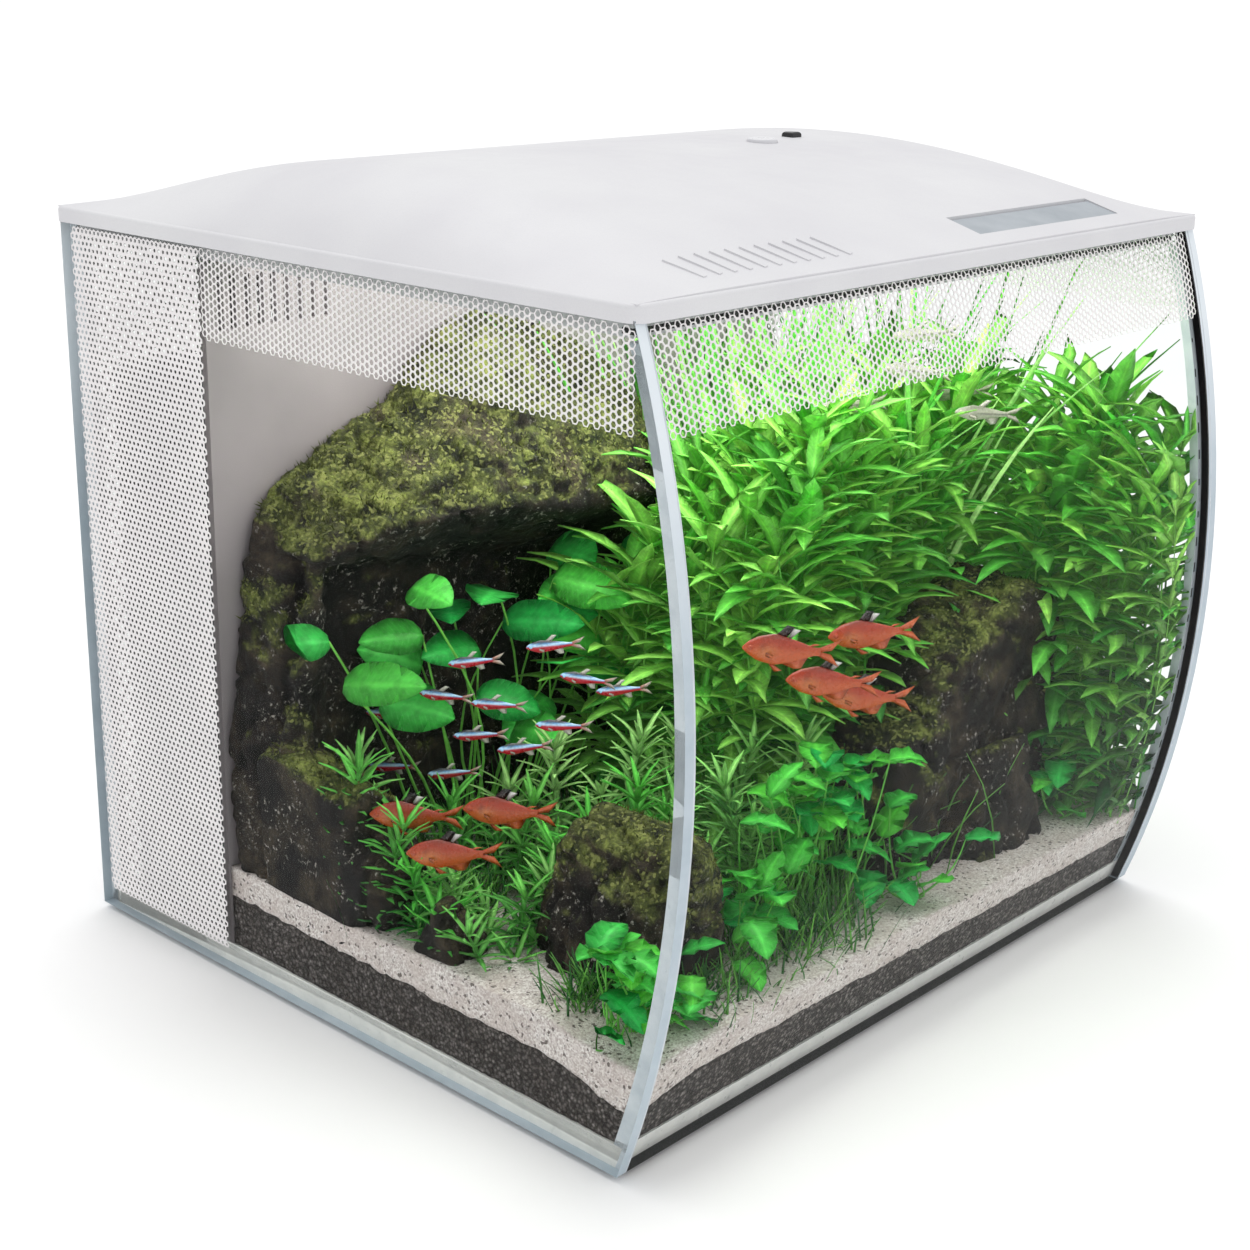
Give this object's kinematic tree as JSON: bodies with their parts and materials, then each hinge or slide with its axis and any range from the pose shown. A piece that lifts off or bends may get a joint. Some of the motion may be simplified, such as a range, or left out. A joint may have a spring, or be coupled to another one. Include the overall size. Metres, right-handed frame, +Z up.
{
  "type": "glass aquarium tank",
  "caption": "Bow-front glass aquarium with domed lid, hinged feed door, LED bar, printed honeycomb band, rear filter compartment and planted rock layout with fish.",
  "frame": {"origin": "centre of the bounding box's footprint, on the surface the tank stands on", "axes": "+X to the right, front pane faces -Y, +Z up"},
  "size_m": [0.41, 0.394, 0.3904],
  "materials": {
    "glass": "clear polished float glass",
    "silicone": "translucent pale silicone",
    "mat_foam": "black foam",
    "print": "white screen-printed honeycomb",
    "divider": "light grey moulded",
    "foam": "coarse open-cell filter foam",
    "filter_plastic": "black moulded",
    "carbon": "white mesh bag over black carbon",
    "bio_ceramic": "porous unglazed",
    "pump_plastic": "black moulded",
    "magnet": "moulded ferrite rotor",
    "shaft_ceramic": "ground",
    "cup_rubber": "soft",
    "hose": "smooth flexible tube",
    "lid_white": "white fine-textured satin",
    "door_grey": "grey satin",
    "steel": "plain",
    "button": "satin white",
    "black_lens": "polished black",
    "circuit": "solder mask",
    "led_body": "anodised",
    "led_chip": "phosphor",
    "led_cover": "clear acrylic",
    "soil": "baked clay granules",
    "sand": "fine pale sand",
    "rock": "weathered, mossy",
    "plant": "living leaves",
    "neon_skin": "blue and red",
    "red_skin": "orange red",
    "glass_skin": "translucent silver"
  },
  "bodies": {
    "tank": {"levelling_mat": "mat_foam", "base_pane": "glass", "back_pane": "glass", "left_pane": "glass", "right_pane": "glass", "front_pane": "glass", "seal_front_left": "silicone", "seal_front_right": "silicone", "seal_back_left": "silicone", "seal_back_right": "silicone", "seal_base": "silicone", "print_front": "print", "print_back": "print", "print_left": "print", "print_right": "print", "divider_panel": "divider", "chamber_wall_left": "divider", "chamber_wall_right": "divider", "pump_body": "pump_plastic", "pump_cover": "pump_plastic", "impeller_shaft": "shaft_ceramic", "pump_feet": "cup_rubber", "riser_tube": "hose", "outlet_manifold": "filter_plastic", "soil_layer": "soil", "sand_layer": "sand", "main_boulder": "rock", "left_rock": "rock", "corner_rock": "rock", "front_rock": "rock", "back_grass": "plant", "stem_plants": "plant", "broad_leaf_plant": "plant", "front_plants": "plant", "neon_tetras": "neon_skin", "red_tetras": "red_skin", "glass_fish": "glass_skin"},
    "lid": {"lid_shell": "lid_white", "lid_tray": "lid_white", "hinge_pin": "steel", "sensor_window": "black_lens", "control_board": "circuit", "lid_screws": "steel", "led_housing": "led_body", "led_board": "circuit", "led_chips": "led_chip", "led_lens": "led_cover"},
    "feed_door": {"feed_door": "door_grey"},
    "power_button": {"power_button": "button"},
    "foam_filter": {"foam_block": "foam", "foam_handle": "filter_plastic"},
    "media_basket": {"media_basket": "filter_plastic", "ceramic_rings": "bio_ceramic", "carbon_bag": "carbon"},
    "basket_handle": {"basket_handle": "filter_plastic"},
    "impeller": {"impeller": "magnet"},
    "nozzle_left": {"nozzle_left": "filter_plastic"},
    "nozzle_right": {"nozzle_right": "filter_plastic"}
  },
  "joints": [
    {"name": "lid_lift", "type": "slide", "parent": "tank", "child": "lid", "axis": [0, 0, 1], "range_m": [0, 0.09]},
    {"name": "feed_door_hinge", "type": "hinge", "parent": "lid", "child": "feed_door", "pos_m": [0.088, -0.141, 0.36413], "axis": [-1, 0, 0], "range_deg": [0, 90]},
    {"name": "power_button_press", "type": "slide", "parent": "lid", "child": "power_button", "axis": [0, 0, -1], "range_m": [0, 0.001], "stiffness_N_per_m": 400},
    {"name": "foam_lift", "type": "slide", "parent": "tank", "child": "foam_filter", "axis": [0, 0, 1], "range_m": [0, 0.02]},
    {"name": "basket_lift", "type": "slide", "parent": "tank", "child": "media_basket", "axis": [0, 0, 1], "range_m": [0, 0.02]},
    {"name": "basket_handle_fold", "type": "hinge", "parent": "media_basket", "child": "basket_handle", "pos_m": [-0.0005, 0.143, 0.29], "axis": [1, 0, 0], "range_deg": [0, 90]},
    {"name": "impeller_spin", "type": "hinge", "parent": "tank", "child": "impeller", "pos_m": [0.1, 0.14, 0.054], "axis": [1, 0, 0], "continuous": true},
    {"name": "nozzle_left_swivel", "type": "hinge", "parent": "tank", "child": "nozzle_left", "pos_m": [0.104, 0.092, 0.318], "axis": [0, -1, 0], "range_deg": [-60, 60]},
    {"name": "nozzle_right_swivel", "type": "hinge", "parent": "tank", "child": "nozzle_right", "pos_m": [0.17, 0.092, 0.318], "axis": [0, -1, 0], "range_deg": [-60, 60]}
  ]
}
